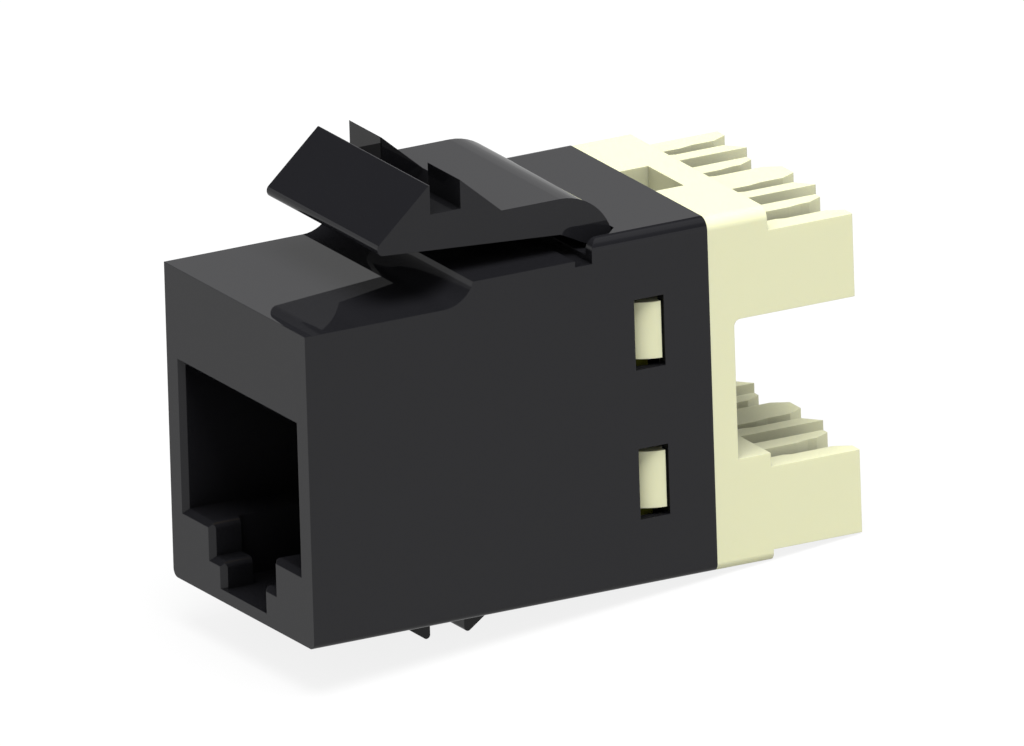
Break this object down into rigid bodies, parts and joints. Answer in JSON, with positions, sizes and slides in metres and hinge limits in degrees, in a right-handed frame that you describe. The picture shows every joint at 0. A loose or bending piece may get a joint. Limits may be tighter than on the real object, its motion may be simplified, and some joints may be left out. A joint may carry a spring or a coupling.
{
  "type": "keystone jack",
  "caption": "Modular network socket that snaps into a keystone panel, with two rows of wire slots at its rear.",
  "frame": {"origin": "on the middle line of the underside, midway between the two hooks that grip the panel's lower edge", "axes": "+X across the width, +Y from the plug's opening to the wire towers, +Z from the hooks to the latch arm"},
  "size_m": [0.0144, 0.0311, 0.0238],
  "materials": {
    "black_plastic": "fine satin moulded black",
    "cream_plastic": "smooth moulded cream polycarbonate",
    "dark_plastic": "moulded black, inside the socket",
    "board_laminate": "green solder mask on glass laminate",
    "gold_contact": "gold-plated spring wire",
    "tinned_fork": "tin-plated bronze sheet"
  },
  "bodies": {
    "body": {"housing": "black_plastic", "wire_block": "cream_plastic", "circuit_board": "board_laminate", "contact_carrier": "dark_plastic", "spring_contact_1": "gold_contact", "spring_contact_2": "gold_contact", "spring_contact_3": "gold_contact", "spring_contact_4": "gold_contact", "spring_contact_5": "gold_contact", "spring_contact_6": "gold_contact", "spring_contact_7": "gold_contact", "spring_contact_8": "gold_contact", "wire_fork_upper_1": "tinned_fork", "wire_fork_upper_2": "tinned_fork", "wire_fork_upper_3": "tinned_fork", "wire_fork_upper_4": "tinned_fork", "wire_fork_lower_1": "tinned_fork", "wire_fork_lower_2": "tinned_fork", "wire_fork_lower_3": "tinned_fork", "wire_fork_lower_4": "tinned_fork"},
    "latch": {"latch_arm": "black_plastic"}
  },
  "joints": [
    {"name": "latch_flex", "type": "hinge", "parent": "body", "child": "latch", "pos_m": [0, 0.00629, 0.01728], "axis": [1, 0, 0], "range_deg": [0, 10], "stiffness_Nm_per_rad": 0.3}
  ]
}
